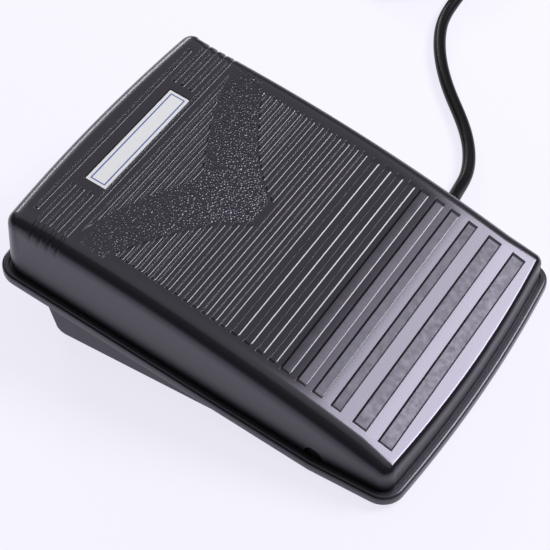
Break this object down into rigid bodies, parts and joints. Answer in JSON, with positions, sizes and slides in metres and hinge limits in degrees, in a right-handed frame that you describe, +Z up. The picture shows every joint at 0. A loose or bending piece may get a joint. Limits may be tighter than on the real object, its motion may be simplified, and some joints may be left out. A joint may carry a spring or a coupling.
{
  "type": "sewing machine foot pedal",
  "caption": "Foot pedal for a sewing machine: a ribbed rocking cover hinged on a wedge base, with a speed control board, return springs and a cord with a plug.",
  "frame": {"origin": "on the floor under the middle of the pedal's plan outline", "axes": "+X across the pedal to the side the cord leaves, +Y along it from the thin toe end to the high heel end, +Z up"},
  "size_m": [0.288, 0.2193, 0.0482],
  "materials": {
    "cover_plastic": "black moulded plastic, satin, with a slight sheen on the lands",
    "label_white": "white plate with a printed border",
    "base_plastic": "black moulded plastic, fine grain",
    "steel": "bright zinc plated steel",
    "pin_black": "blackened steel pin",
    "rubber_black": "matt black rubber",
    "board_laminate": "brown paper laminate",
    "pot_blue": "dark blue case",
    "slider_cream": "cream acetal",
    "sink_aluminium": "plain extruded aluminium",
    "epoxy_black": "moulded black case",
    "core_yellow": "painted iron powder core",
    "copper_enamel": "enamelled copper wire",
    "capacitor_red": "red dipped case",
    "resistor_tan": "tan lacquer",
    "diac_blue": "blue case",
    "terminal_green": "green polyamide",
    "wire_brown": "brown insulation",
    "wire_blue": "blue insulation",
    "clamp_grey": "grey polyamide",
    "cord_black": "black satin sheath",
    "tie_black": "black band",
    "plug_black": "moulded black plug",
    "contact_brass": "tinned brass"
  },
  "bodies": {
    "base": {"base_tub": "base_plastic", "rubber_feet": "rubber_black", "stop_bumpers": "rubber_black", "return_springs": "steel", "circuit_board": "board_laminate", "board_screws": "steel", "pot_body": "pot_blue", "heat_sink": "sink_aluminium", "triac": "epoxy_black", "sink_screw": "steel", "choke_core": "core_yellow", "choke_winding": "copper_enamel", "film_capacitor": "capacitor_red", "resistors": "resistor_tan", "diac": "diac_blue", "terminal_block": "terminal_green", "terminal_screws": "steel", "wire_live": "wire_brown", "wire_return": "wire_blue", "cord_clamp": "clamp_grey", "clamp_screws": "steel", "cord_gland": "rubber_black", "cord_lead": "cord_black", "cord_tube": "cord_black", "cord_coil": "cord_black", "cord_tie": "tie_black", "cord_tail": "cord_black", "plug_boot": "rubber_black", "plug_body": "plug_black", "plug_contacts": "contact_brass"},
    "pedal": {"pedal_cover": "cover_plastic", "label_plate": "label_white", "hinge_pins": "pin_black"},
    "slider": {"pot_slider": "slider_cream"}
  },
  "joints": [
    {"name": "pedal_hinge", "type": "hinge", "parent": "base", "child": "pedal", "pos_m": [0, -0.044, 0.0057], "axis": [-1, 0, 0], "range_deg": [0, 4], "stiffness_Nm_per_rad": 12, "springref_deg": -3.44, "deforming": ["return_springs"]},
    {"name": "slider_travel", "type": "slide", "parent": "base", "child": "slider", "axis": [0, 0, -1], "range_m": [0, 0.0042]}
  ],
  "couplings": [
    {"joint": "slider_travel", "follows": "pedal_hinge", "m_per_rad": 0.0578}
  ]
}
